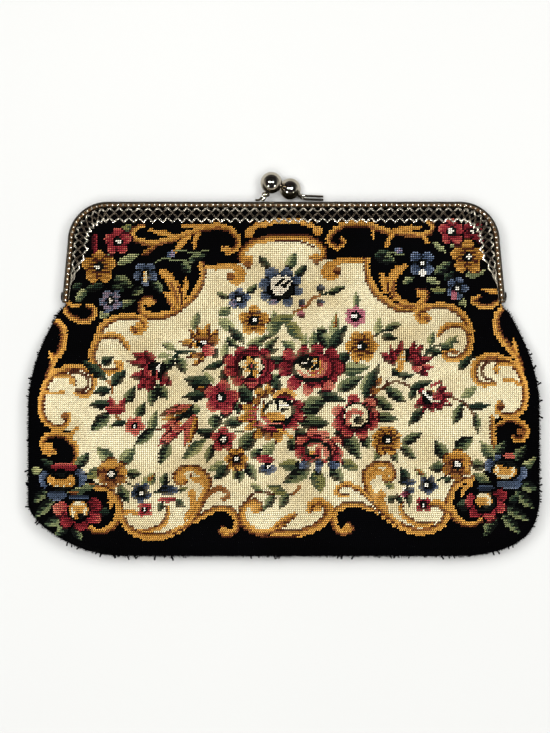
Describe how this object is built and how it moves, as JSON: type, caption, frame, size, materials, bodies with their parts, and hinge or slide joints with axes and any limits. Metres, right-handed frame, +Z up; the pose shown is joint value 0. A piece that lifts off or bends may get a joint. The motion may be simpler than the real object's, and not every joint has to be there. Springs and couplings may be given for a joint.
{
  "type": "evening clutch",
  "caption": "Flat frame purse with petit-point floral front, plain black back, pierced and beaded metal frame and two-ball snap clasp, lying closed on its back.",
  "frame": {"origin": "on the surface it lies on, under the middle of the bounding box", "axes": "+X across the bag, +Y from the base edge to the clasp, +Z up through the thickness, out of the embroidered front"},
  "size_m": [0.2146, 0.1624, 0.0275],
  "materials": {
    "tapestry": "wool petit point, black ground with cream, ochre, red, green and blue",
    "black_cloth": "plain black woven cloth",
    "frame_metal": "dark antique gilt, polished on the high points",
    "clasp_metal": "polished, pale gilt"
  },
  "bodies": {
    "root": {"bag_front": "tapestry", "bag_back": "black_cloth", "frame_front": "frame_metal", "frame_back": "frame_metal", "hinge_rivet_left": "frame_metal", "hinge_rivet_right": "frame_metal", "clasp_ball_front": "clasp_metal", "clasp_ball_back": "clasp_metal"}
  },
  "joints": []
}
